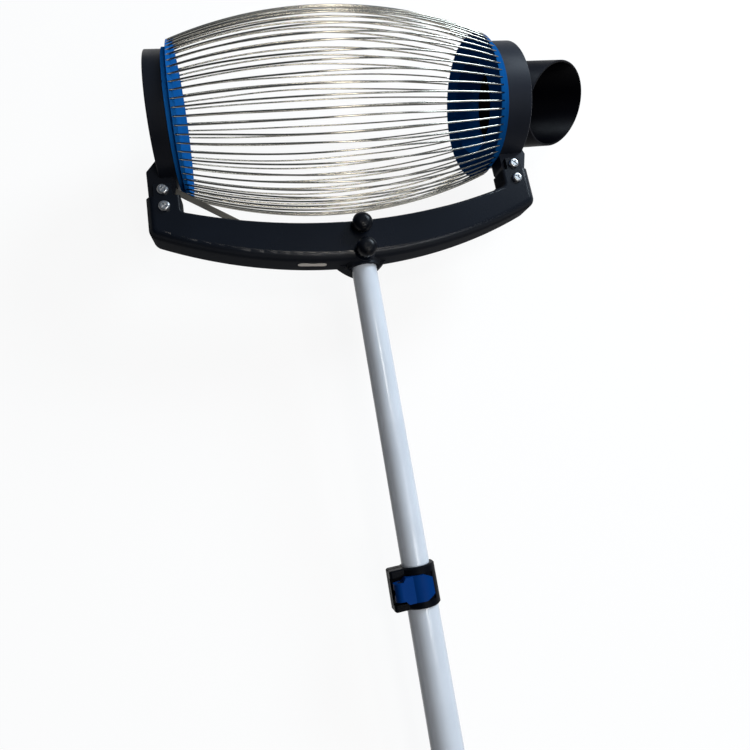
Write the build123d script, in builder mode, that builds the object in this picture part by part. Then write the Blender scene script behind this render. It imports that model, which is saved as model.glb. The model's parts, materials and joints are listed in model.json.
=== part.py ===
from build123d import *
import os
from math import asin, atan2, cos, degrees, hypot, radians, sin, sqrt, tan

os.makedirs("parts", exist_ok=True)

# Driving dimensions in millimetres.
# The tool lies on the floor on its drum and on the end of its handle.

# Clearances
fit = 0.05            # between pieces that are pushed together and stay
run_fit = 0.08        # radial, in the drum's bearings
run_gap = 0.4         # axial, between the turning drum and the fixed rings
slide_fit = 0.1       # between pieces that slide or turn by hand

# Drum: two end discs joined by bowed wires
wire_count = 63
wire_turn = 3.4       # first wire, from the handle's far side, degrees
wire_d = 1.8
wire_seat_r = 76.8    # wire circle at the discs
bulge_r = 104.1       # wire circle at mid span
cage_span = 310.0     # between the inner faces of the discs
wire_stop = 1.0       # disc left whole past the end of a wire
flange_inset = 0.4    # disc inside the wire circle, so its grooves are open
flange_t = 4.0
flange_edge = 0.5
journal_r = 52.0
journal_wall = 3.0
collar_wall = 3.0
collar_step = 1.7     # smooth step beside a ring, standing out past it
left_collar = 5.0     # its length
right_collar = 7.1

# Fixed rings that carry the drum
ring_step = 8.4       # disc standing out past the rings
ring_wall = 3.0
ring_end_t = 3.5
left_ring_w = 16.1
right_ring_w = 26.6
bearing_t = 3.0
sleeve_wall = 3.0
ring_edge = 1.0

# Outlet chute: a tube with a slanted mouth
chute_wall = 2.5
chute_lip = 3.0       # inner lip that keeps it in the ring
chute_rim = 8.2       # lip standing out past the chute's wall
mouth_reach = 68.5    # from the ring's face to the mouth, on the axis
mouth_back_turn = 38.5    # slant of the mouth towards the handle, degrees
mouth_up_turn = 46.5      # slant of the mouth upwards, degrees

# Yoke: bar, ears and tube socket
cage_clear = 23.1     # drum to bar, on the centre line
bar_h = 38.9          # height of the bar along the handle
bar_x = 2.0           # middle of the bar's curves
up_bow = 570.0        # radius of its inner curve
low_bow = 470.0       # and of its outer one
bar_cover = 0.1       # bar's front beyond the socket
bar_round = 8.0
inner_round = 3.0
corner_r = 10.0
inner_corner_r = 5.0
bar_wall = 5.0
front_wall = 7.0
rib_t = 3.0
ear_inner = 14.4      # screw line to the ear's inner side
ear_outer = 16.6      # screw line to its outer side
ear_inset = 10.9      # screw line, outwards from the right ring's inner face
ear_drop = 19.0       # from the ring's radius to the ear's top
ear_slope = 9.0       # slope behind the ear's inner side, at the back
ear_slope_z = 3.5     # and where it starts, behind the axis
tongue_in = 7.7       # screw line to the tongue's inner side
tongue_out = 8.8      # and to its outer side
tongue_t = 5.0
tongue_h = 12.5
boss_depth = 22.8
boss_top = 12.0       # boss inside the ring's radius
boss_step = 2.7       # ear's outer side, out past the boss
boss_relief = 6.0     # cut inner corner of the boss
boss_flare = 3.5      # right boss, out past the ring's end
spur_top = 22.3       # left boss on the ring's end, inside the ring's radius
spur_turn = 8.4       # its corner
spur_out = 11.2       # and how far it stands out from the ring's end
spur_round = 3.0
tenon_w = 17.6
tenon_t = 18.0
tenon_h = 20.6
handle_x = 2.5
socket_wall = 3.6
socket_root = 3.8     # root of the socket, wider than its collar
socket_out = 4.5      # socket below the bar
web_half = 30.0       # web behind the socket, half its width at the bar
web_tip = 10.0        # and at its lower end
web_out = 9.2         # web below the bar
web_t = 17.0
web_in = 3.0          # web inside the bar's back
knob_boss_r = 10.5

# Ear screws
screw_r = 2.2
screw_len = 24.0
screw_head_r = 5.2
screw_head_h = 3.4
screw_up = 6.0        # upper screw above the ear's top
screw_down = 10.7     # lower screw below it
recess_l = 6.2
recess_w = 1.3
recess_d = 1.7

# Thumbscrews
knob_r = 9.8
knob_base_r = 7.6
knob_base_h = 4.2
knob_h = 15.4
knob_flutes = 18
flute_r = 1.0
stud_r = 2.95
upper_knob_in = 6.2   # from the bar's inner edge
lower_knob_in = 31.5
insert_r = 4.3

# Stay strip, from the left ear's boss down to the bar
stay_w = 5.4
stay_t = 2.0
stay_z = 12.0
stay_in = 4.5         # upper end, from the screw line towards the drum
stay_up = 10.7        # and above the ear's top
stay_reach = 72.0     # lower end, from the screw line
stay_seat = 4.3       # and inside the bar's inner curve

# Blank inlay on the underside of the bar
inlay_x = -48.5
inlay_z = 4.6
inlay_l = 28.0
inlay_w = 8.0
inlay_t = 1.2
inlay_proud = 0.2

# Telescopic handle
upper_r = 12.5
tube_wall = 1.2
tube_gap = 0.2        # between the tubes
tube_stop = 2.5       # from the bar's inner edge to the upper tube's end
upper_len = 660.0
upper_shown = 281.0   # from the socket to the lower tube's mouth
lower_len = 650.0
plug_len = 25.0
plug_flange = 8.0

# Clamp on the mouth of the lower tube
clamp_over = 4.0      # collar above the mouth
clamp_h = 33.2
clamp_wall = 2.4
clamp_edge = 1.0
clamp_recess = 1.2    # depth of the lever's recess
lug_out = 26.2
lug_back = 9.0
lug_front = 9.5
lug_floor = 5.0
lug_round = 2.5
slit = 1.6
lever_w = 21.0
neck_w = 14.6
lever_t = 2.8
lever_end = 58.0      # degrees, where the paddle stops
lever_root = 115.0
cam_r = 6.2
cam_in = 7.5          # cam's axis, from the lug's end
neck_l = 9.0          # narrow part of the lever, from the lug's end
paddle_corner = 4.0   # cut corner, along the handle
paddle_slope = 8.0    # and across it
pin_r = 3.2
pin_l = 14.2
bolt_r = 1.9
bolt_head_r = 3.8
bolt_head_h = 3.5

# Grip and end cap
grip_wall = 2.5
grip_len = 150.0
groove_pitch = 12.0
groove_r = 1.1
cap_rim = 1.2         # cap standing out past the grip
cap_t = 9.5
cap_edge = 3.0
cap_plug = 30.0
eye_t = 7.0
eye_w = 16.0
eye_len = 16.0
hang_r = 3.5

# Derived sizes
axis_h = bulge_r + wire_d / 2
half_span = cage_span / 2
flange_r = wire_seat_r - flange_inset
flange_out = half_span + flange_t
ring_r = flange_r - ring_step
collar_r = ring_r + collar_step
left_in = flange_out + left_collar + run_gap
left_out = left_in + left_ring_w
right_in = flange_out + right_collar + run_gap
right_out = right_in + right_ring_w
bearing_in_r = journal_r + run_fit
bearing_r = bearing_in_r + bearing_t
sleeve_r = bearing_r + fit + sleeve_wall
chute_r = bearing_r - fit - chute_rim
socket_r = upper_r + socket_wall
socket_root_r = socket_r + socket_root
front = socket_root_r + bar_cover
bar_depth = 2 * front
bar_top = axis_h + cage_clear
bar_low = bar_top + bar_h
ear_x = right_in + ear_inset
ear_in = ear_x - ear_inner
ear_out = ear_x + ear_outer
ear_top = ring_r + ear_drop
tongue_x = ear_x + (tongue_out - tongue_in) / 2
boss_in = right_in + 0.1
boss_out = ear_out - boss_step
boss_front = front - tongue_t - 0.2
boss_low = ear_top - 0.2
socket_end = bar_low + socket_out
upper_knob_s = bar_top + upper_knob_in
lower_knob_s = bar_top + lower_knob_in
upper_top = bar_top + tube_stop
lower_r = upper_r + tube_gap + tube_wall
lower_top = socket_end + upper_shown
clamp_top = lower_top - clamp_over
clamp_mid = clamp_top + clamp_h / 2
clamp_r = lower_r + clamp_wall
clamp_floor_r = clamp_r - clamp_recess
lever_inner_r = clamp_floor_r + 2 * slide_fit
lever_r = lever_inner_r + lever_t
cam_x = cam_in - lug_out
cam_y = lug_floor + 2 * slide_fit + cam_r
neck_x = neck_l - lug_out
lower_end = lower_top + lower_len
grip_r = lower_r + grip_wall
grip_top = lower_end - grip_len
cap_r = grip_r + cap_rim
cap_end = lower_end + fit + cap_t

# The end cap's rim touches the floor, which sets the slope of the handle.
reach = cap_end - cap_edge
rim = cap_r - cap_edge
tilt = asin((axis_h - cap_edge) / hypot(reach, rim)) - atan2(rim, reach)

# Base planes. TOP faces up along the tool, AXLE faces along the drum's axis,
# HANDLE faces down the handle, and CLAMP is TOP moved to the clamp's middle.
up_dir = (0, -sin(tilt), cos(tilt))
out_dir = (0, -cos(tilt), -sin(tilt))
TOP = Plane(origin=(0, 0, axis_h), x_dir=(1, 0, 0), z_dir=up_dir)
AXLE = Plane(origin=(0, 0, axis_h), x_dir=(0, cos(tilt), sin(tilt)), z_dir=(1, 0, 0))
HANDLE = Plane(origin=(handle_x, 0, axis_h), x_dir=(1, 0, 0), z_dir=out_dir)
CLAMP = Plane(origin=HANDLE.offset(clamp_mid).origin, x_dir=(1, 0, 0), z_dir=up_dir)
HANDLE_AXIS = Axis(HANDLE.origin, out_dir)
UP_AXIS = Axis(TOP.origin, up_dir)

# One wire, bowed along the drum's axis, and the groove that it takes in a disc's rim
sag = bulge_r - wire_seat_r
bow_r = (half_span**2 + sag**2) / (2 * sag)
tail_x = flange_out - wire_stop
tail_r = bulge_r - bow_r + sqrt(bow_r**2 - tail_x**2)

with BuildPart() as wire:
    with BuildLine(Plane.XZ) as bow:
        ThreePointArc((tail_r, -tail_x), (bulge_r, 0), (tail_r, tail_x))
    with BuildSketch(Plane(origin=bow.line @ 0, z_dir=bow.line % 0)):
        Circle(wire_d / 2)
    sweep(path=bow.line)

with BuildPart() as wire_groove:
    with BuildLine(Plane.XZ) as bow_groove:
        ThreePointArc((tail_r, -tail_x), (bulge_r, 0), (tail_r, tail_x))
    with BuildSketch(Plane(origin=bow_groove.line @ 0, z_dir=bow_groove.line % 0)):
        Circle(wire_d / 2 + fit)
    sweep(path=bow_groove.line)

with BuildPart(AXLE) as cage_wires:
    with PolarLocations(0, wire_count, start_angle=wire_turn):
        add(wire.part)
cage_wires.part.label = "cage_wires"
export_step(cage_wires.part, "parts/cage_wires.step")

# End discs: flange with the wire grooves, smooth step, journal
left_journal = left_out - ring_end_t - run_gap
right_journal = right_out - ring_end_t - chute_lip - 2 * run_gap

with BuildPart(AXLE) as left_disc:
    with BuildSketch(AXLE.offset(-flange_out)):
        Circle(flange_r)
    extrude(amount=flange_t)
    with BuildSketch(AXLE.offset(-flange_out)):
        Circle(collar_r)
        Circle(collar_r - collar_wall, mode=Mode.SUBTRACT)
    extrude(amount=-left_collar)
    with BuildSketch(AXLE.offset(-flange_out)):
        Circle(journal_r)
        Circle(journal_r - journal_wall, mode=Mode.SUBTRACT)
    extrude(amount=-(left_journal - flange_out))
    rim_lines = left_disc.edges().filter_by(GeomType.CIRCLE).sort_by(SortBy.RADIUS)[-2:]
    fillet(rim_lines, radius=flange_edge)
    with PolarLocations(0, wire_count, start_angle=wire_turn):
        add(wire_groove.part, mode=Mode.SUBTRACT)
left_disc.part.label = "left_disc"
export_step(left_disc.part, "parts/left_disc.step")

with BuildPart(AXLE) as right_disc:
    with BuildSketch(AXLE.offset(half_span)):
        Circle(flange_r)
        Circle(journal_r - journal_wall, mode=Mode.SUBTRACT)
    extrude(amount=flange_t)
    with BuildSketch(AXLE.offset(flange_out)):
        Circle(collar_r)
        Circle(collar_r - collar_wall, mode=Mode.SUBTRACT)
    extrude(amount=right_collar)
    with BuildSketch(AXLE.offset(flange_out)):
        Circle(journal_r)
        Circle(journal_r - journal_wall, mode=Mode.SUBTRACT)
    extrude(amount=right_journal - flange_out)
    rim_lines = right_disc.edges().filter_by(GeomType.CIRCLE).sort_by(SortBy.RADIUS)[-2:]
    fillet(rim_lines, radius=flange_edge)
    with PolarLocations(0, wire_count, start_angle=wire_turn):
        add(wire_groove.part, mode=Mode.SUBTRACT)
right_disc.part.label = "right_disc"
export_step(right_disc.part, "parts/right_disc.step")

# Plain bearing bushes between the journals and the rings
with BuildPart() as left_bearing:
    with BuildSketch(AXLE.offset(-left_in - 1)):
        Circle(bearing_r)
        Circle(bearing_in_r, mode=Mode.SUBTRACT)
    extrude(amount=-(left_ring_w - ring_end_t - 1))
left_bearing.part.label = "left_bearing"
export_step(left_bearing.part, "parts/left_bearing.step")

with BuildPart() as right_bearing:
    with BuildSketch(AXLE.offset(right_in + 1)):
        Circle(bearing_r)
        Circle(bearing_in_r, mode=Mode.SUBTRACT)
    extrude(amount=right_journal - right_in - 1)
right_bearing.part.label = "right_bearing"
export_step(right_bearing.part, "parts/right_bearing.step")

# Lines shared by the yoke, the rings, the screws and the stay. The bar lies between two arcs.
screw_s = (ear_top - screw_up, ear_top + screw_down)
left_screws = [(-ear_x, -s) for s in screw_s]
right_screws = [(ear_x, -s) for s in screw_s]


def bar_lines(inset, x):
    """Depths below the axis of the bar's two curves at x, drawn in by inset."""
    top = bar_top - up_bow + sqrt(up_bow**2 - (x - bar_x)**2) + inset
    low = bar_low - low_bow + sqrt(low_bow**2 - (x - bar_x)**2) - inset
    return top, low


stay_from = Vector(stay_in - ear_x, stay_up - ear_top)
stay_to_x = stay_reach - ear_x
stay_to = Vector(stay_to_x, -bar_lines(stay_seat, stay_to_x)[0])
stay_line = stay_to - stay_from
stay_len = stay_line.length
stay_turn = degrees(atan2(stay_line.Y, stay_line.X))
stay_mid = (stay_from + stay_to) / 2

# Left ring: closed housing with a boss and a tenon that stands in the ear
with BuildPart() as left_ring:
    with BuildSketch(AXLE.offset(-left_out)):
        Circle(ring_r)
    extrude(amount=left_ring_w)
    fillet(left_ring.edges().group_by(Axis.X)[0], radius=ring_edge)
    with BuildSketch(AXLE.offset(-left_out + ring_end_t)):
        Circle(ring_r - ring_wall)
        Circle(sleeve_r, mode=Mode.SUBTRACT)
    extrude(amount=left_ring_w, mode=Mode.SUBTRACT)
    with BuildSketch(TOP.offset(boss_front)):
        with BuildLine():
            Polyline(
                (-boss_in, -(ring_r - boss_top)),
                (ring_end_t - left_out, -(ring_r - boss_top)),
                (ring_end_t - left_out, -(ring_r - spur_top)),
                (-left_out, -(ring_r - spur_top)),
                (-left_out - spur_out, -(ring_r - spur_turn)),
                (-boss_out, -boss_low),
                (-boss_in - boss_relief / 2, -boss_low),
                (-boss_in, boss_relief - boss_low),
                close=True,
            )
        make_face()
        fillet(vertices().sort_by(Axis.X)[0], radius=spur_round)
    extrude(amount=-boss_depth)
    with BuildSketch(AXLE.offset(-left_out + ring_end_t)):
        Circle(bearing_r + fit)
    extrude(amount=left_ring_w, mode=Mode.SUBTRACT)
    with BuildSketch(TOP.offset(-tenon_t / 2)):
        with Locations((-ear_x, -(boss_low + tenon_h / 2))):
            Rectangle(tenon_w, tenon_h)
    extrude(amount=tenon_t)
    with BuildSketch(TOP.offset(front)):
        with Locations(*left_screws):
            Circle(screw_r + fit)
    extrude(amount=-(screw_len + 2), mode=Mode.SUBTRACT)
    with BuildSketch(TOP.offset(stay_z - stay_t / 2 - fit)):
        with Locations(stay_mid):
            Rectangle(stay_len + 2 * fit, stay_w + 2 * fit, rotation=stay_turn)
    extrude(amount=stay_t + 2 * fit, mode=Mode.SUBTRACT)
left_ring.part.label = "left_ring"
export_step(left_ring.part, "parts/left_ring.step")

# Right ring: the same housing, open at its outer end for the chute
with BuildPart() as right_ring:
    with BuildSketch(AXLE.offset(right_out)):
        Circle(ring_r)
    extrude(amount=-right_ring_w)
    fillet(right_ring.edges().group_by(Axis.X)[-1], radius=ring_edge)
    with BuildSketch(AXLE.offset(right_out - ring_end_t)):
        Circle(ring_r - ring_wall)
        Circle(sleeve_r, mode=Mode.SUBTRACT)
    extrude(amount=-right_ring_w, mode=Mode.SUBTRACT)
    with BuildSketch(AXLE.offset(right_out)):
        Circle(chute_r + fit)
    extrude(amount=-ring_end_t, mode=Mode.SUBTRACT)
    with BuildSketch(TOP.offset(boss_front)):
        with BuildLine():
            Polyline(
                (boss_in, -(ring_r - boss_top)),
                (right_out - ring_edge, -(ring_r - boss_top)),
                (right_out + boss_flare, -ring_r),
                (boss_out, -boss_low),
                (boss_in + boss_relief / 2, -boss_low),
                (boss_in, boss_relief - boss_low),
                close=True,
            )
        make_face()
    extrude(amount=-boss_depth)
    with BuildSketch(AXLE.offset(right_out - ring_end_t)):
        Circle(bearing_r + fit)
    extrude(amount=-right_ring_w, mode=Mode.SUBTRACT)
    with BuildSketch(TOP.offset(-tenon_t / 2)):
        with Locations((ear_x, -(boss_low + tenon_h / 2))):
            Rectangle(tenon_w, tenon_h)
    extrude(amount=tenon_t)
    with BuildSketch(TOP.offset(front)):
        with Locations(*right_screws):
            Circle(screw_r + fit)
    extrude(amount=-(screw_len + 2), mode=Mode.SUBTRACT)
right_ring.part.label = "right_ring"
export_step(right_ring.part, "parts/right_ring.step")

# Outlet chute, cut by a slanted plane so that its far side is the longest
mouth_back = tan(radians(mouth_back_turn))
mouth_up = tan(radians(mouth_up_turn))
mouth_x = right_out + mouth_reach
mouth_far = mouth_x + chute_r * (mouth_back + mouth_up)
chute_in = right_out - ring_end_t - fit - chute_lip
mouth_plane = Plane(
    origin=TOP.from_local_coords((mouth_x, 0, 0)),
    z_dir=TOP.from_local_coords((1, -mouth_back, mouth_up)) - TOP.origin,
)
with BuildPart() as outlet_chute:
    with BuildSketch(AXLE.offset(chute_in)):
        Circle(chute_r)
    extrude(amount=mouth_far - chute_in)
    with BuildSketch(AXLE.offset(chute_in)):
        Circle(bearing_r - fit)
    extrude(amount=chute_lip)
    with BuildSketch(AXLE.offset(chute_in)):
        Circle(chute_r - chute_wall)
    extrude(amount=mouth_far - chute_in, mode=Mode.SUBTRACT)
    split(bisect_by=mouth_plane, keep=Keep.BOTTOM)
    flat_faces = outlet_chute.faces().filter_by(GeomType.PLANE)
    mouth = flat_faces.sort_by(Axis(mouth_plane.origin, mouth_plane.z_dir))[-1]
    fillet(mouth.edges(), radius=chute_wall * 0.35)
outlet_chute.part.label = "outlet_chute"
export_step(outlet_chute.part, "parts/outlet_chute.step")

# Yoke
inlay_s = bar_lines(0, inlay_x)[1]
inlay_slope = (inlay_x - bar_x) / (low_bow - bar_low + inlay_s)
UNDER = Plane(
    origin=TOP.from_local_coords((inlay_x, -inlay_s, inlay_z)),
    x_dir=TOP.from_local_coords((1, inlay_slope, 0)) - TOP.origin,
    z_dir=TOP.from_local_coords((inlay_slope, -1, 0)) - TOP.origin,
)


def outside(edge):
    """True for an edge on the outer side of the bar and ears."""
    p = TOP.to_local_coords(edge.center())
    return p.Y < -(bar_top + bar_low) / 2 or abs(p.X) > ear_out - corner_r / 2


def inside(edge):
    """True for an edge on the side that faces the drum."""
    p = TOP.to_local_coords(edge.center())
    return not outside(edge) and abs(p.X) < ear_in + 0.5


def inner_corner(vertex):
    """True for a corner between the bar's inner curve and an ear."""
    return abs(vertex.X) < ear_in + 0.5 and vertex.Y < -ear_top - 1


left_low = bar_lines(0, -ear_out)[1]
right_low = bar_lines(0, ear_out)[1]
left_up = bar_lines(0, -ear_in)[0]
right_up = bar_lines(0, ear_in)[0]
with BuildPart() as yoke:
    with BuildSketch(TOP.offset(-front)):
        with BuildLine():
            low = ThreePointArc((-ear_out, -left_low), (bar_x, -bar_low), (ear_out, -right_low))
            high = ThreePointArc((ear_in, -right_up), (bar_x, -bar_top), (-ear_in, -left_up))
            Polyline(low @ 1, (ear_out, -ear_top), (ear_in, -ear_top), high @ 0)
            Polyline(high @ 1, (-ear_in, -ear_top), (-ear_out, -ear_top), low @ 0)
        make_face()
        fillet(vertices().sort_by(Axis.Y)[:2], radius=corner_r)
        fillet(vertices().filter_by(inner_corner), radius=inner_corner_r)
    extrude(amount=bar_depth)
    sides = yoke.faces().sort_by(UP_AXIS)
    rim_edges = sides[0].edges() + sides[-1].edges()
    fillet([e for e in rim_edges if outside(e)], radius=bar_round)
    sides = yoke.faces().filter_by(GeomType.PLANE).sort_by(UP_AXIS)
    rim_edges = sides[0].edges() + sides[-1].edges()
    fillet([e for e in rim_edges if inside(e)], radius=inner_round)
    # Slopes behind the inner sides of the ears
    for side in (-1, 1):
        with BuildSketch(HANDLE.offset(ear_top - 1)):
            with BuildLine():
                Polyline(
                    (side * ear_in - handle_x, -ear_slope_z),
                    (side * (ear_in + ear_slope) - handle_x, -front),
                    (side * (ear_in + ear_slope) - handle_x, -front - 1),
                    (side * (ear_in - 1) - handle_x, -front - 1),
                    (side * (ear_in - 1) - handle_x, -ear_slope_z),
                    close=True,
                )
            make_face()
        extrude(amount=left_up - inner_corner_r - ear_top, mode=Mode.SUBTRACT)
    # Web behind the tube, then the socket with its short collar
    with BuildSketch(TOP.offset(web_in - front)):
        with BuildLine():
            bend = (web_half * 0.66, -(bar_low + web_out * 0.28))
            web_foot = bar_lines(bar_round, web_half)[1]
            right_side = ThreePointArc((handle_x + web_half, -web_foot), (handle_x + bend[0], bend[1]),
                                       (handle_x + web_tip, -(bar_low + web_out)))
            left_side = ThreePointArc((handle_x - web_half, -web_foot), (handle_x - bend[0], bend[1]),
                                      (handle_x - web_tip, -(bar_low + web_out)))
            Line(right_side @ 1, left_side @ 1)
            Line(right_side @ 0, left_side @ 0)
        make_face()
    extrude(amount=web_t)
    with BuildSketch(TOP):
        with BuildLine():
            Polyline(
                (handle_x, -(bar_top + bar_h / 2)),
                (handle_x + socket_root_r, -(bar_top + bar_h / 2)),
                (handle_x + socket_root_r, -(bar_low - bar_round / 2)),
                (handle_x + socket_r, -(bar_low + 2)),
                (handle_x + socket_r, -socket_end),
                (handle_x, -socket_end),
                close=True,
            )
        make_face()
    revolve(axis=HANDLE_AXIS)
    with BuildSketch(TOP):
        with Locations((handle_x, -lower_knob_s)):
            Circle(knob_boss_r)
    extrude(amount=front)
    # Tongues that lap over the rings' bosses
    with BuildSketch(TOP.offset(front - tongue_t)):
        with Locations((-tongue_x, -ear_top), (tongue_x, -ear_top)):
            Rectangle(tongue_in + tongue_out, 2 * tongue_h)
    extrude(amount=tongue_t)
    # Pockets in the back of the bar, between ribs
    cell = (ear_in - corner_r - handle_x - socket_root_r - bar_wall) / 3
    for side in (-1, 1):
        for n in range(3):
            near = side * (handle_x + socket_root_r + bar_wall + n * cell)
            far = near + side * (cell - rib_t)
            near_top, near_low = bar_lines(bar_wall, near)
            far_top, far_low = bar_lines(bar_wall, far)
            mid_top, mid_low = bar_lines(bar_wall, (near + far) / 2)
            with BuildSketch(TOP.offset(-front)):
                with BuildLine():
                    ThreePointArc((near, -near_top), ((near + far) / 2, -mid_top), (far, -far_top))
                    Line((far, -far_top), (far, -far_low))
                    ThreePointArc((far, -far_low), ((near + far) / 2, -mid_low), (near, -near_low))
                    Line((near, -near_low), (near, -near_top))
                make_face()
            extrude(amount=bar_depth - front_wall, mode=Mode.SUBTRACT)
    # Bore for the tube, seats for the inserts, pockets and holes in the ears
    with BuildSketch(HANDLE.offset(bar_top - bar_h)):
        Circle(upper_r + fit)
    extrude(amount=2 * bar_h + web_out + 1, mode=Mode.SUBTRACT)
    with BuildSketch(TOP.offset(front)):
        with Locations((handle_x, -upper_knob_s), (handle_x, -lower_knob_s)):
            Circle(insert_r + fit)
    extrude(amount=-front, mode=Mode.SUBTRACT)
    with BuildSketch(HANDLE.offset(ear_top)):
        with Locations((-ear_x - handle_x, 0), (ear_x - handle_x, 0)):
            Rectangle(tenon_w + 4 * slide_fit, tenon_t + 4 * slide_fit)
    extrude(amount=tenon_h + 2 * slide_fit, mode=Mode.SUBTRACT)
    with BuildSketch(TOP.offset(front)):
        with Locations(*left_screws, *right_screws):
            Circle(screw_r + 2 * slide_fit)
    extrude(amount=-(screw_len + 2), mode=Mode.SUBTRACT)
    with BuildSketch(TOP.offset(stay_z - stay_t / 2 - fit)):
        with Locations(stay_mid):
            Rectangle(stay_len + 2 * fit, stay_w + 2 * fit, rotation=stay_turn)
    extrude(amount=stay_t + 2 * fit, mode=Mode.SUBTRACT)
    with BuildSketch(UNDER.offset(inlay_proud - inlay_t - fit)):
        SlotOverall(inlay_l + 2 * fit, inlay_w + 2 * fit)
    extrude(amount=2 * inlay_t, mode=Mode.SUBTRACT)
yoke.part.label = "yoke"
export_step(yoke.part, "parts/yoke.step")

# Stay strip and inlay
with BuildPart() as stay_strip:
    with BuildSketch(TOP.offset(stay_z - stay_t / 2)):
        with Locations(stay_mid):
            Rectangle(stay_len, stay_w, rotation=stay_turn)
    extrude(amount=stay_t)
stay_strip.part.label = "stay_strip"
export_step(stay_strip.part, "parts/stay_strip.step")

with BuildPart() as underside_inlay:
    with BuildSketch(UNDER.offset(inlay_proud - inlay_t)):
        SlotOverall(inlay_l, inlay_w)
    extrude(amount=inlay_t)
underside_inlay.part.label = "underside_inlay"
export_step(underside_inlay.part, "parts/underside_inlay.step")

# Four pan-head screws with a cross recess
with BuildPart() as ear_screws:
    with BuildSketch(TOP.offset(front)):
        with Locations(*left_screws, *right_screws):
            Circle(screw_head_r)
    extrude(amount=screw_head_h)
    fillet(ear_screws.faces().group_by(UP_AXIS)[-1].edges(), radius=screw_head_h * 0.6)
    with BuildSketch(TOP.offset(front)):
        with Locations(*left_screws, *right_screws):
            Circle(screw_r)
    extrude(amount=-screw_len)
    with BuildSketch(TOP.offset(front + screw_head_h)):
        with Locations(*left_screws, *right_screws):
            Rectangle(recess_l, recess_w, rotation=45)
            Rectangle(recess_l, recess_w, rotation=135)
    extrude(amount=-recess_d, mode=Mode.SUBTRACT)
ear_screws.part.label = "ear_screws"
export_step(ear_screws.part, "parts/ear_screws.step")

# Thumbscrews: fluted head, steel stud, brass insert in the yoke
stud_tip = upper_r + 0.3
stud_top = front + knob_h * 0.6
knob_foot = front + 0.3


def head_outline():
    """Half section of a thumbscrew head, from its axis outwards."""
    Polyline(
        (0, knob_foot),
        (knob_base_r, knob_foot),
        (knob_base_r, front + knob_base_h),
        (knob_r, front + knob_base_h + 1.5),
        (knob_r, front + knob_h * 0.68),
    )
    ThreePointArc(
        (knob_r, front + knob_h * 0.68),
        (knob_r * 0.72, front + knob_h * 0.9),
        (knob_r * 0.2, front + knob_h),
    )
    Polyline((knob_r * 0.2, front + knob_h), (0, front + knob_h), (0, knob_foot))


with BuildPart() as upper_knob:
    with BuildSketch(HANDLE.offset(upper_knob_s)):
        with BuildLine():
            head_outline()
        make_face()
    revolve(axis=Axis(HANDLE.offset(upper_knob_s).origin, up_dir))
    with BuildSketch(TOP.offset(front + knob_base_h)):
        with Locations((handle_x, -upper_knob_s)):
            with PolarLocations(knob_r + flute_r * 0.4, knob_flutes):
                Circle(flute_r)
    extrude(amount=knob_h * 0.62 - knob_base_h, mode=Mode.SUBTRACT)
    with BuildSketch(TOP.offset(stud_tip)):
        with Locations((handle_x, -upper_knob_s)):
            Circle(stud_r + fit)
    extrude(amount=stud_top + fit - stud_tip, mode=Mode.SUBTRACT)
upper_knob.part.label = "upper_knob"
export_step(upper_knob.part, "parts/upper_knob.step")

with BuildPart() as lower_knob:
    with BuildSketch(HANDLE.offset(lower_knob_s)):
        with BuildLine():
            head_outline()
        make_face()
    revolve(axis=Axis(HANDLE.offset(lower_knob_s).origin, up_dir))
    with BuildSketch(TOP.offset(front + knob_base_h)):
        with Locations((handle_x, -lower_knob_s)):
            with PolarLocations(knob_r + flute_r * 0.4, knob_flutes):
                Circle(flute_r)
    extrude(amount=knob_h * 0.62 - knob_base_h, mode=Mode.SUBTRACT)
    with BuildSketch(TOP.offset(stud_tip)):
        with Locations((handle_x, -lower_knob_s)):
            Circle(stud_r + fit)
    extrude(amount=stud_top + fit - stud_tip, mode=Mode.SUBTRACT)
lower_knob.part.label = "lower_knob"
export_step(lower_knob.part, "parts/lower_knob.step")

with BuildPart() as upper_stud:
    with BuildSketch(TOP.offset(stud_tip)):
        with Locations((handle_x, -upper_knob_s)):
            Circle(stud_r)
    extrude(amount=stud_top - stud_tip)
    chamfer(upper_stud.edges().group_by(UP_AXIS)[0], length=stud_r * 0.3)
upper_stud.part.label = "upper_stud"
export_step(upper_stud.part, "parts/upper_stud.step")

with BuildPart() as lower_stud:
    with BuildSketch(TOP.offset(stud_tip)):
        with Locations((handle_x, -lower_knob_s)):
            Circle(stud_r)
    extrude(amount=stud_top - stud_tip)
    chamfer(lower_stud.edges().group_by(UP_AXIS)[0], length=stud_r * 0.3)
lower_stud.part.label = "lower_stud"
export_step(lower_stud.part, "parts/lower_stud.step")

with BuildPart() as knob_inserts:
    with BuildSketch(TOP.offset(stud_tip + 0.5)):
        with Locations((handle_x, -upper_knob_s), (handle_x, -lower_knob_s)):
            Circle(insert_r)
            Circle(stud_r + slide_fit, mode=Mode.SUBTRACT)
    extrude(amount=front - stud_tip - 0.5)
knob_inserts.part.label = "knob_inserts"
export_step(knob_inserts.part, "parts/knob_inserts.step")

# Tubes and the guide plug on the hidden end of the upper one
with BuildPart() as upper_tube:
    with BuildSketch(HANDLE.offset(upper_top)):
        Circle(upper_r)
        Circle(upper_r - tube_wall, mode=Mode.SUBTRACT)
    extrude(amount=upper_len)
upper_tube.part.label = "upper_tube"
export_step(upper_tube.part, "parts/upper_tube.step")

with BuildPart() as guide_plug:
    with BuildSketch(HANDLE.offset(upper_top + upper_len)):
        Circle(lower_r - tube_wall - slide_fit)
    extrude(amount=plug_flange)
    with BuildSketch(HANDLE.offset(upper_top + upper_len)):
        Circle(upper_r - tube_wall - fit)
    extrude(amount=-plug_len)
guide_plug.part.label = "guide_plug"
export_step(guide_plug.part, "parts/guide_plug.step")

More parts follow.
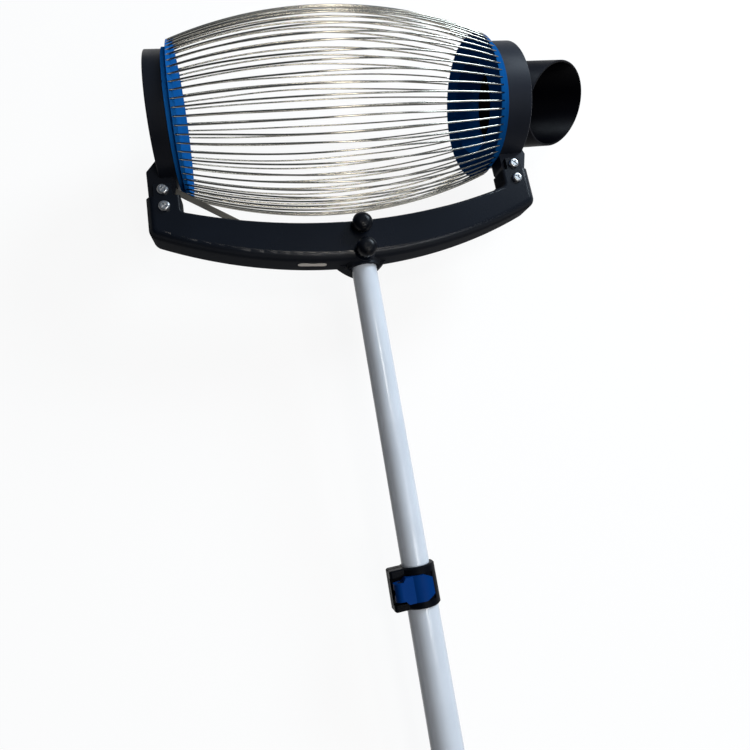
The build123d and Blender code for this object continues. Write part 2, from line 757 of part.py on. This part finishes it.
with BuildPart() as lower_tube:
    with BuildSketch(HANDLE.offset(lower_top)):
        Circle(lower_r)
        Circle(lower_r - tube_wall, mode=Mode.SUBTRACT)
    extrude(amount=lower_len)
lower_tube.part.label = "lower_tube"
export_step(lower_tube.part, "parts/lower_tube.step")

# Clamp collar: split ring with a lug, recessed for the lever
groove_w = lever_w + 8 * slide_fit
groove_end = lever_r * cos(radians(lever_end)) + 9 * slide_fit
with BuildPart() as clamp_body:
    with BuildSketch(HANDLE.offset(clamp_top)):
        Circle(clamp_r)
        with Locations((-lug_out / 2, (lug_front - lug_back) / 2)):
            RectangleRounded(lug_out, lug_front + lug_back, lug_round)
    extrude(amount=clamp_h)
    chamfer(clamp_body.faces().sort_by(HANDLE_AXIS)[0].edges(), length=clamp_edge)
    chamfer(clamp_body.faces().sort_by(HANDLE_AXIS)[-1].edges(), length=clamp_edge)
    with BuildSketch(HANDLE.offset(clamp_mid - groove_w / 2)):
        with Locations((groove_end - lug_out - clamp_r, lug_floor + clamp_r)):
            Rectangle(2 * (lug_out + clamp_r), 2 * clamp_r)
        Circle(clamp_floor_r, mode=Mode.SUBTRACT)
    extrude(amount=groove_w, mode=Mode.SUBTRACT)
    with BuildSketch(HANDLE.offset(clamp_top)):
        Circle(upper_r + slide_fit)
        with Locations((-lug_out / 2 - 1, 0)):
            Rectangle(lug_out + 2, slit)
    extrude(amount=clamp_h, mode=Mode.SUBTRACT)
    with BuildSketch(HANDLE.offset(lower_top - fit)):
        Circle(lower_r + fit)
    extrude(amount=clamp_h, mode=Mode.SUBTRACT)
    with BuildSketch(CLAMP.offset(-lug_back)):
        with Locations((cam_x, 0)):
            Circle(bolt_r + slide_fit)
    extrude(amount=lug_back + lug_front, mode=Mode.SUBTRACT)
clamp_body.part.label = "clamp_body"
export_step(clamp_body.part, "parts/clamp_body.step")

# Flip lever: cam on its pin, neck and a paddle wrapped round the collar
root = Vector(cos(radians(lever_root)), sin(radians(lever_root)))
paddle_x = lever_r * cos(radians(lever_end))
shoulder = (lever_w - neck_w) / 2
with BuildPart() as clamp_lever:
    with BuildSketch(HANDLE.offset(clamp_mid - lever_w / 2)):
        with BuildLine():
            outer = CenterArc((0, 0), lever_r, lever_end, lever_root - lever_end)
            inner = CenterArc((0, 0), lever_inner_r, lever_end, lever_root - lever_end)
            Line(outer @ 0, inner @ 0)
            Line(outer @ 1, inner @ 1)
        make_face()
        with Locations((cam_x, cam_y)):
            Circle(cam_r)
        with BuildLine():
            Polyline(
                root * lever_r,
                (cam_x, cam_y + cam_r),
                (cam_x, cam_y),
                (cam_x + cam_r * 0.8, cam_y - cam_r * 0.5),
                root * lever_inner_r,
                close=True,
            )
        make_face()
        Circle(lever_inner_r, mode=Mode.SUBTRACT)
    extrude(amount=lever_w)
    # Seen from above: narrow neck, sloped shoulders, paddle with cut corners
    with BuildSketch(CLAMP.offset(lug_floor - 1)):
        with BuildLine():
            Polyline(
                (-lug_out, neck_w / 2),
                (neck_x, neck_w / 2),
                (neck_x + shoulder, lever_w / 2),
                (paddle_x - paddle_slope, lever_w / 2),
                (paddle_x, lever_w / 2 - paddle_corner),
                (paddle_x, -lever_w / 2 + paddle_corner),
                (paddle_x - paddle_slope, -lever_w / 2),
                (neck_x + shoulder, -lever_w / 2),
                (neck_x, -neck_w / 2),
                (-lug_out, -neck_w / 2),
                close=True,
            )
        make_face()
    extrude(amount=lug_out, mode=Mode.INTERSECT)
    with BuildSketch(HANDLE.offset(clamp_mid - lever_w / 2)):
        with Locations((cam_x, cam_y)):
            Circle(pin_r + slide_fit)
    extrude(amount=lever_w, mode=Mode.SUBTRACT)
    with BuildSketch(HANDLE.offset(clamp_mid - bolt_r - 4 * slide_fit)):
        with Locations((cam_x - cam_r / 2, cam_y - cam_r / 2)):
            Rectangle(cam_r + 2 * bolt_r + 8 * slide_fit, cam_r + 2 * bolt_r + 8 * slide_fit)
    extrude(amount=2 * bolt_r + 8 * slide_fit, mode=Mode.SUBTRACT)
clamp_lever.part.label = "clamp_lever"
export_step(clamp_lever.part, "parts/clamp_lever.step")

with BuildPart() as clamp_pin:
    with BuildSketch(HANDLE.offset(clamp_mid - pin_l / 2)):
        with Locations((cam_x, cam_y)):
            Circle(pin_r)
    extrude(amount=pin_l)
    with BuildSketch(CLAMP.offset(cam_y - pin_r - 1)):
        with Locations((cam_x, 0)):
            Circle(bolt_r + fit)
    extrude(amount=pin_r + 1 + bolt_r, mode=Mode.SUBTRACT)
clamp_pin.part.label = "clamp_pin"
export_step(clamp_pin.part, "parts/clamp_pin.step")

with BuildPart() as clamp_bolt:
    with BuildSketch(CLAMP.offset(-lug_back)):
        with Locations((cam_x, 0)):
            Circle(bolt_r)
    extrude(amount=lug_back + cam_y + bolt_r - 2 * slide_fit)
    with BuildSketch(CLAMP.offset(-lug_back)):
        with Locations((cam_x, 0)):
            RegularPolygon(bolt_head_r, 6)
    extrude(amount=-bolt_head_h)
clamp_bolt.part.label = "clamp_bolt"
export_step(clamp_bolt.part, "parts/clamp_bolt.step")

# Grip with finger grooves, and the end cap with its hanging eye
with BuildPart() as grip:
    with BuildSketch(HANDLE.offset(grip_top)):
        Circle(grip_r)
    extrude(amount=grip_len)
    fillet(grip.edges().group_by(HANDLE_AXIS)[0], radius=1.5)
    grooves = int(grip_len / groove_pitch) - 1
    for n in range(1, grooves + 1):
        with BuildSketch(TOP):
            with Locations((handle_x + grip_r + groove_r * 0.3, -(grip_top + n * groove_pitch))):
                Circle(groove_r)
        revolve(axis=HANDLE_AXIS, mode=Mode.SUBTRACT)
    with BuildSketch(HANDLE.offset(grip_top)):
        Circle(lower_r + fit)
    extrude(amount=grip_len, mode=Mode.SUBTRACT)
grip.part.label = "grip"
export_step(grip.part, "parts/grip.step")

with BuildPart() as end_cap:
    with BuildSketch(HANDLE.offset(lower_end + fit)):
        Circle(cap_r)
    extrude(amount=cap_t)
    fillet(end_cap.edges().group_by(HANDLE_AXIS)[-1], radius=cap_edge)
    with BuildSketch(HANDLE.offset(lower_end + fit)):
        Circle(lower_r - tube_wall - fit)
    extrude(amount=-cap_plug)
    with BuildSketch(AXLE.offset(handle_x - eye_t / 2)):
        with Locations((-(cap_end + eye_len / 2 - eye_w / 4 - 1), 0)):
            Rectangle(eye_len - eye_w / 2 + 2, eye_w)
        with Locations((-(cap_end + eye_len - eye_w / 2), 0)):
            Circle(eye_w / 2)
            Circle(hang_r, mode=Mode.SUBTRACT)
    extrude(amount=eye_t)
end_cap.part.label = "end_cap"
export_step(end_cap.part, "parts/end_cap.step")
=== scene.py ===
import json
from math import atan2, cos, pi, radians, sin, sqrt
from random import Random

import bmesh
import bpy
from mathutils import Matrix, Vector

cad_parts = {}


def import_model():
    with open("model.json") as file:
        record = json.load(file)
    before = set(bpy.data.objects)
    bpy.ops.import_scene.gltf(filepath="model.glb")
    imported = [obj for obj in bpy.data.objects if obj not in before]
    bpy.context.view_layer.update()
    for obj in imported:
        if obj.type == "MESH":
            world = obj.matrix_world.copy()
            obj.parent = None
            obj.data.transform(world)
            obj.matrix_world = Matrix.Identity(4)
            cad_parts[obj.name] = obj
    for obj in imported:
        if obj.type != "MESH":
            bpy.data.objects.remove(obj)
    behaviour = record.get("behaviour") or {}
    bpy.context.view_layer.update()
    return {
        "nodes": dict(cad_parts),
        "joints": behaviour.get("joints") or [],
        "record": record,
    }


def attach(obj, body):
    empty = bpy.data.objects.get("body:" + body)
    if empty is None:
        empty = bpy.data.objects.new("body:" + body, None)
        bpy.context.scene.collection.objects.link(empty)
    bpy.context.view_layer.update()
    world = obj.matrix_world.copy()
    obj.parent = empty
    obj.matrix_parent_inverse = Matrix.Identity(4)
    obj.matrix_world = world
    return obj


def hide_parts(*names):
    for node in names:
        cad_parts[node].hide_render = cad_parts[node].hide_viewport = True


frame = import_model()
nodes = frame["nodes"]
joints = {joint["name"]: joint for joint in frame["joints"]}

# Directions and places read from the frame, in metres
AXLE = Vector(joints["drum_spin"]["pos_m"])
DOWN_HANDLE = Vector(joints["telescope"]["axis"]).normalized()
ACROSS = Vector((1, 0, 0))
TOOL_UP = DOWN_HANDLE.cross(ACROSS)
HANDLE_TILT = atan2(-DOWN_HANDLE.z, -DOWN_HANDLE.y)

# Camera, fitted to the photograph: image and focal length in pixels, place in metres, sensor in millimetres
IMAGE = 750
FOCAL = 573.65
CAMERA_AT = Vector((-0.1146, -0.3725, 0.6135))
CAMERA_RIGHT = Vector((0.9687, -0.1827, 0.1678))
CAMERA_UP = Vector((0.1201, 0.9373, 0.3272))
CAMERA_SENSOR = 36.0
CAMERA_SHIFT_Y = -0.1

# Cage wires, in metres: the solids' own bow, with the small unevenness that real ones have
WIRE_COUNT = 63
WIRE_TURN = radians(3.4)         # place of the first wire about the axle
WIRE_R = 0.0009
WIRE_SEAT_R = 0.0768
WIRE_BULGE_R = 0.1041
WIRE_HALF_SPAN = 0.155
WIRE_END = 0.158
WIRE_SIDES = 8
WIRE_STEPS = 40
WIRE_SEED = 7
WIRE_STRAY = 0.0013              # standard deviation of the sideways stray at mid span
WIRE_STRAY_MOST = 0.0028
WIRE_WAVE = WIRE_STRAY / 2       # standard deviation of the sideways wave
WIRE_SINK = WIRE_STRAY / 2       # standard deviation of the sinking towards the axle

# Studio: lamps in metres and watts
AIM = (0, -0.1, 0.1)
KEY_AT = (1.32, 0.95, 1.2)
LAMPS = {
    "key": dict(at=KEY_AT, towards=AIM, size=0.9, power=43, colour=(0.78, 0.90, 1.0)),
    "overhead": dict(at=(0.24, -0.22, 1.7), towards=AIM, size=0.3, power=4.2, colour=(1.0, 0.94, 0.84)),
    "strip": dict(at=(0.68, -0.82, 1.4), towards=(0, -0.82, 0.1), size=0.9, height=0.12, power=3.0,
                  colour=(0.95, 0.98, 1.0)),
    "fill": dict(at=(0.3, -0.95, 1.55), towards=AIM, size=0.3, power=4, colour=(1.0, 0.96, 0.9)),
    "front": dict(at=(0.3, -1.6, 0.7), towards=AIM, size=0.3, power=1.5, colour=(1.0, 0.92, 0.80)),
}
FLOOR_SIZE = 12
FLOOR_ROUGH = 0.9
FLOOR_GLOW = 0.9
FLOOR_PALE = (0.9, 0.9, 0.9)
FLOOR_BOUNCE = (0.12, 0.11, 0.098)
WORLD_DIM = (0.025, 0.026, 0.03)
WORLD_BRIGHT = (0.32, 0.38, 0.46)

# Surface noise: features per metre, depths in metres, and the range that most of a noise lies in
NOISE_LOW, NOISE_HIGH = 0.3, 0.7
PLASTIC_CLOUD = 14
PLASTIC_PATCHES = 60
PLASTIC_UNEVEN = 0.06            # change of roughness either way
PLASTIC_GRAIN = 2200
PLASTIC_GRAIN_DEPTH = 0.0002
METAL_CLOUD = 25
METAL_LINES = 900
METAL_LINE_DEPTH = 0.0001

# The bar's roughness goes from the first value to the second as its surface turns to the front
BAR_ROUGHNESS = (1.0, 0.2)
BAR_TURN = (0.5, 0.99)

# The chute's colour inside, darkened as painted shade, and outside, and the distances from the axle between
# which it changes
DECIMETRES = 10
CHUTE_PAINTED_SHADE_COLOURS = ((0.0006, 0.0006, 0.0014), (0.006, 0.0066, 0.0095))
CHUTE_SHADE_WALL = (0.452, 0.459)


def new_material(name):
    """A material with its node tree and its shader."""
    material = bpy.data.materials.new(name)
    material.use_nodes = True
    tree = material.node_tree
    return material, tree, tree.nodes["Principled BSDF"]


def node(tree, kind, **values):
    """Adds a node and sets its input sockets or settings by name."""
    made = tree.nodes.new("ShaderNode" + kind)
    for key, value in values.items():
        label = key.replace("_", " ")
        if label in made.inputs:
            made.inputs[label].default_value = value
        else:
            setattr(made, key, value)
    return made


def join(tree, source, target):
    """Links an output to an input."""
    tree.links.new(source, target)


def noise(tree, scale, detail, stretch=(1, 1, 1)):
    """Noise over the piece's own coordinates, turned to the handle and drawn out by stretch."""
    place = node(tree, "TexCoord")
    mapping = node(tree, "Mapping", vector_type="TEXTURE", Rotation=(HANDLE_TILT, 0, 0), Scale=stretch)
    made = node(tree, "TexNoise", Scale=scale, Detail=detail)
    join(tree, place.outputs["Object"], mapping.inputs["Vector"])
    join(tree, mapping.outputs["Vector"], made.inputs["Vector"])
    return made.outputs["Fac"]


def ramp(tree, source, low, high, start=NOISE_LOW, end=NOISE_HIGH):
    """Colour between low and high as source goes from start to end."""
    made = node(tree, "ValToRGB")
    made.color_ramp.elements[0].position = start
    made.color_ramp.elements[0].color = (*low, 1)
    made.color_ramp.elements[1].position = end
    made.color_ramp.elements[1].color = (*high, 1)
    join(tree, source, made.inputs["Fac"])
    return made.outputs["Color"]


def span(tree, source, low, high, start=NOISE_LOW, end=NOISE_HIGH):
    """Number between low and high as source goes from start to end."""
    made = node(tree, "MapRange", From_Min=start, From_Max=end, To_Min=low, To_Max=high)
    join(tree, source, made.inputs["Value"])
    return made.outputs["Result"]


def bump(tree, shader, height, strength, distance):
    """Lets a height tilt the surface's normal."""
    made = node(tree, "Bump", Strength=strength, Distance=distance)
    join(tree, height, made.inputs["Height"])
    join(tree, made.outputs["Normal"], shader.inputs["Normal"])


def moulded(name, colours, rough, grain=0.25, gloss=0.5):
    """Moulded plastic: faint clouding, fine grain and slightly uneven gloss.

    Where colours or rough is None, that socket is left to the caller.
    """
    material, tree, shader = new_material(name)
    shader.inputs["Specular IOR Level"].default_value = gloss
    if colours is not None:
        join(tree, ramp(tree, noise(tree, PLASTIC_CLOUD, 4), *colours), shader.inputs["Base Color"])
    if rough is not None:
        patches = noise(tree, PLASTIC_PATCHES, 5)
        join(tree, span(tree, patches, rough - PLASTIC_UNEVEN, rough + PLASTIC_UNEVEN),
             shader.inputs["Roughness"])
    bump(tree, shader, noise(tree, PLASTIC_GRAIN, 2), grain, PLASTIC_GRAIN_DEPTH)
    return material


def facing(tree, direction):
    """How far the surface faces a direction, in the piece's own coordinates."""
    place = node(tree, "TexCoord")
    made = node(tree, "VectorMath", operation="DOT_PRODUCT")
    made.inputs[1].default_value = direction
    join(tree, place.outputs["Normal"], made.inputs[0])
    return made.outputs["Value"]


def axle_distance(tree):
    """Distance from the drum's axis, in decimetres."""
    place = node(tree, "TexCoord")
    flat = node(tree, "Mapping", Location=-DECIMETRES * AXLE, Scale=(0, DECIMETRES, DECIMETRES))
    made = node(tree, "VectorMath", operation="LENGTH")
    join(tree, place.outputs["Object"], flat.inputs["Vector"])
    join(tree, flat.outputs["Vector"], made.inputs[0])
    return made.outputs["Value"]


def drawn_metal(name, colours, rough, along=(1, 1, 1), scale=METAL_LINES, grain=0.08, uneven=0.07, metal=1.0,
                gloss=0.5):
    """Metal with faint clouding, and lines drawn out along one direction."""
    material, tree, shader = new_material(name)
    shader.inputs["Specular IOR Level"].default_value = gloss
    shader.inputs["Metallic"].default_value = metal
    lines = noise(tree, scale, 3, along)
    join(tree, ramp(tree, noise(tree, METAL_CLOUD, 4), *colours), shader.inputs["Base Color"])
    join(tree, span(tree, lines, rough - uneven, rough + uneven), shader.inputs["Roughness"])
    bump(tree, shader, lines, grain, METAL_LINE_DEPTH)
    return material


DEEP_BLACK = ((0.0016, 0.002, 0.0035), (0.0028, 0.0034, 0.0055))
black = moulded("black_plastic", DEEP_BLACK, rough=0.3, gloss=0.13)
clamp_black = moulded("black_plastic_clamp", DEEP_BLACK, rough=0.4, gloss=0.03)
bar_black = moulded("black_plastic_bar", ((0.0026, 0.004, 0.0075), (0.004, 0.0058, 0.0105)),
                    rough=None, grain=0.1, gloss=0.22)
# The right ring's black is painted lighter than the rest, as a painted sheen from the key light
ring_black_painted_sheen = moulded("black_plastic_ring_painted_sheen", ((0.0105, 0.013, 0.02), (0.0145, 0.0175, 0.026)),
                     rough=0.45, grain=0.3, gloss=0.08)
end_black = moulded("black_plastic_end", ((0.006, 0.0072, 0.011), (0.0085, 0.01, 0.0145)),
                    rough=0.4, grain=0.3, gloss=0.1)
# Black for the chute, whose inside gets painted shade below
chute_painted_shade_black = moulded("black_plastic_chute_painted_shade", None, rough=0.4, gloss=0.012)
blue = moulded("blue_plastic", ((0.006, 0.102, 0.36), (0.009, 0.122, 0.42)),
               rough=0.5, grain=0.12, gloss=0.0)
# The right disc's blue is painted darker than the left's, as painted shade on its inner face
blue_painted_shade = moulded("blue_plastic_painted_shade", ((0.003, 0.066, 0.235), (0.005, 0.082, 0.28)),
                    rough=0.5, grain=0.12, gloss=0.0)
lever_blue = moulded("blue_plastic_lever", ((0.0006, 0.022, 0.115), (0.001, 0.029, 0.145)),
                     rough=0.4, grain=0.12, gloss=0.02)
bearing = moulded("bearing_plastic", ((0.78, 0.78, 0.74), (0.85, 0.85, 0.82)), rough=0.4)
pale = moulded("pale_inlay", ((0.74, 0.68, 0.62), (0.82, 0.76, 0.70)), rough=0.5)
rubber = moulded("grip_rubber", ((0.018, 0.018, 0.020), (0.028, 0.028, 0.030)), rough=0.72, grain=0.6)
wire_steel = drawn_metal("wire_steel", ((0.30, 0.288, 0.255), (0.41, 0.395, 0.35)),
                         rough=0.14, scale=25, grain=0.0)
zinc = drawn_metal("zinc_steel", ((0.36, 0.37, 0.38), (0.46, 0.47, 0.48)), rough=0.3)
dark_steel = drawn_metal("dark_steel", ((0.11, 0.10, 0.085), (0.17, 0.155, 0.13)), rough=0.45)
brass = drawn_metal("brass", ((0.66, 0.50, 0.22), (0.75, 0.58, 0.28)), rough=0.3)
aluminium = drawn_metal("tube_aluminium", ((0.56, 0.595, 0.65), (0.62, 0.655, 0.71)), rough=0.2,
                        along=(1, 80, 1), scale=300, grain=0.004, uneven=0.015, metal=0.03, gloss=0.24)

# The bar's sides and underside are left rough from the mould, its front is smooth
tree = bar_black.node_tree
join(tree, span(tree, facing(tree, TOOL_UP), *BAR_ROUGHNESS, *BAR_TURN),
     tree.nodes["Principled BSDF"].inputs["Roughness"])

# The chute's inside is painted a deeper black than its outside, as painted shade in the hollow
tree = chute_painted_shade_black.node_tree
join(tree, ramp(tree, axle_distance(tree), *CHUTE_PAINTED_SHADE_COLOURS, *CHUTE_SHADE_WALL),
     tree.nodes["Principled BSDF"].inputs["Base Color"])

BY_SLOT = {
    "black_plastic": black,
    "blue_plastic": blue,
    "bearing_plastic": bearing,
    "pale_inlay": pale,
    "grip_rubber": rubber,
    "wire_steel": wire_steel,
    "zinc_steel": zinc,
    "dark_steel": dark_steel,
    "brass": brass,
    "tube_aluminium": aluminium,
}
# Pieces whose colour or finish differs from the others of their plastic: the right ring's lighter black is a
# painted sheen, the right disc's darker blue and the chute's darker inside are painted shade
BY_NODE = {
    "yoke": bar_black,
    "left_ring": end_black,
    "right_ring": ring_black_painted_sheen,
    "outlet_chute": chute_painted_shade_black,
    "clamp_body": clamp_black,
    "right_disc": blue_painted_shade,
    "clamp_lever": lever_blue,
}
for subpart in frame["record"]["subparts"]:
    mesh = nodes[subpart["node"]].data
    mesh.materials.clear()
    mesh.materials.append(BY_NODE.get(subpart["node"], BY_SLOT[subpart["material_slot"]]))


def bow_radius(x):
    """Radius of the wire circle at x along the drum."""
    sag = WIRE_BULGE_R - WIRE_SEAT_R
    bow = (WIRE_HALF_SPAN**2 + sag**2) / (2 * sag)
    return WIRE_BULGE_R - bow + sqrt(bow**2 - x**2)


def cage():
    """The drum's wires as one mesh: each a thin tube on its bow, straying a little at mid span."""
    chance = Random(WIRE_SEED)
    turns = [2 * pi * side / WIRE_SIDES for side in range(WIRE_SIDES)]
    mesh = bmesh.new()
    for wire in range(WIRE_COUNT):
        angle = WIRE_TURN + 2 * pi * wire / WIRE_COUNT
        outwards = TOOL_UP * sin(angle) - DOWN_HANDLE * cos(angle)
        sideways = ACROSS.cross(outwards)
        stray = max(-WIRE_STRAY_MOST, min(WIRE_STRAY_MOST, chance.gauss(0, WIRE_STRAY)))
        wave = chance.gauss(0, WIRE_WAVE)
        sink = abs(chance.gauss(0, WIRE_SINK))
        points = []
        for step in range(WIRE_STEPS + 1):
            share = 2 * step / WIRE_STEPS - 1
            x = share * WIRE_END
            free = cos(pi * share / 2)**2
            aside = stray * free + wave * free * sin(pi * share)
            points.append(AXLE + ACROSS * x + outwards * (bow_radius(x) - sink * free) + sideways * aside)
        rings = []
        for step, point in enumerate(points):
            along = (points[min(step + 1, WIRE_STEPS)] - points[max(step - 1, 0)]).normalized()
            across = along.cross(sideways).normalized()
            beside = across.cross(along)
            rings.append([mesh.verts.new(point + (across * cos(turn) + beside * sin(turn)) * WIRE_R)
                          for turn in turns])
        for first, second in zip(rings, rings[1:]):
            for side in range(WIRE_SIDES):
                after = (side + 1) % WIRE_SIDES
                mesh.faces.new((first[side], second[side], second[after], first[after])).smooth = True
        mesh.faces.new(rings[0])
        mesh.faces.new(reversed(rings[-1]))
    bmesh.ops.recalc_face_normals(mesh, faces=mesh.faces)
    data = bpy.data.meshes.new("cage")
    mesh.to_mesh(data)
    mesh.free()
    data.materials.append(wire_steel)
    made = bpy.data.objects.new("cage", data)
    bpy.context.scene.collection.objects.link(made)
    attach(made, "drum")
    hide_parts("cage_wires")


def camera():
    """The photograph's camera."""
    data = bpy.data.cameras.new("camera")
    data.sensor_width = CAMERA_SENSOR
    data.lens = FOCAL * CAMERA_SENSOR / IMAGE
    data.shift_y = CAMERA_SHIFT_Y
    made = bpy.data.objects.new("camera", data)
    right = CAMERA_RIGHT.normalized()
    back = right.cross(CAMERA_UP).normalized()
    turn = Matrix((right, back.cross(right), back)).transposed()
    made.matrix_world = Matrix.Translation(CAMERA_AT) @ turn.to_4x4()
    bpy.context.scene.collection.objects.link(made)
    bpy.context.scene.camera = made


def area_light(name, at, towards, size, power, colour, height=None):
    """A round lamp, or a strip where a height is given."""
    data = bpy.data.lights.new(name, "AREA")
    data.shape = "ELLIPSE" if height else "DISK"
    data.size = size
    data.size_y = height or size
    data.energy = power
    data.color = colour
    made = bpy.data.objects.new(name, data)
    made.location = at
    made.rotation_euler = (Vector(towards) - Vector(at)).to_track_quat("-Z", "Y").to_euler()
    bpy.context.scene.collection.objects.link(made)


def floor():
    """Pale floor, shown near white, which keeps a faint shadow."""
    bpy.ops.mesh.primitive_plane_add(size=FLOOR_SIZE)
    made = bpy.context.object
    made.name = "floor"
    material, tree, shader = new_material("floor")
    shader.inputs["Roughness"].default_value = FLOOR_ROUGH
    path = node(tree, "LightPath")
    colour = ramp(tree, path.outputs["Is Camera Ray"], FLOOR_BOUNCE, FLOOR_PALE, 0.0, 1.0)
    join(tree, colour, shader.inputs["Base Color"])
    mirrored = node(tree, "Math", operation="MAXIMUM")
    seen = node(tree, "Math", operation="MAXIMUM")
    share = node(tree, "Math", operation="MULTIPLY")
    share.inputs[1].default_value = FLOOR_GLOW
    glow = node(tree, "Emission", Color=(1, 1, 1, 1), Strength=1.0)
    mix = node(tree, "MixShader")
    join(tree, path.outputs["Is Glossy Ray"], mirrored.inputs[0])
    join(tree, path.outputs["Is Transmission Ray"], mirrored.inputs[1])
    join(tree, path.outputs["Is Camera Ray"], seen.inputs[0])
    join(tree, mirrored.outputs[0], seen.inputs[1])
    join(tree, seen.outputs[0], share.inputs[0])
    join(tree, share.outputs[0], mix.inputs[0])
    join(tree, shader.outputs[0], mix.inputs[1])
    join(tree, glow.outputs[0], mix.inputs[2])
    join(tree, mix.outputs[0], tree.nodes["Material Output"].inputs["Surface"])
    made.data.materials.append(material)


def world():
    """A dim studio, brighter on the side of the key light."""
    made = bpy.data.worlds.new("studio")
    made.use_nodes = True
    tree = made.node_tree
    place = node(tree, "TexCoord")
    towards = node(tree, "VectorMath", operation="DOT_PRODUCT")
    towards.inputs[1].default_value = Vector(KEY_AT).normalized()
    join(tree, place.outputs["Generated"], towards.inputs[0])
    colour = ramp(tree, towards.outputs["Value"], WORLD_DIM, WORLD_BRIGHT, 0.0, 1.0)
    back = tree.nodes["Background"]
    join(tree, colour, back.inputs["Color"])
    back.inputs["Strength"].default_value = 1.0
    bpy.context.scene.world = made


cage()
camera()
floor()
world()
for lamp, values in LAMPS.items():
    area_light(lamp, **values)
bpy.context.scene.view_settings.view_transform = "Standard"
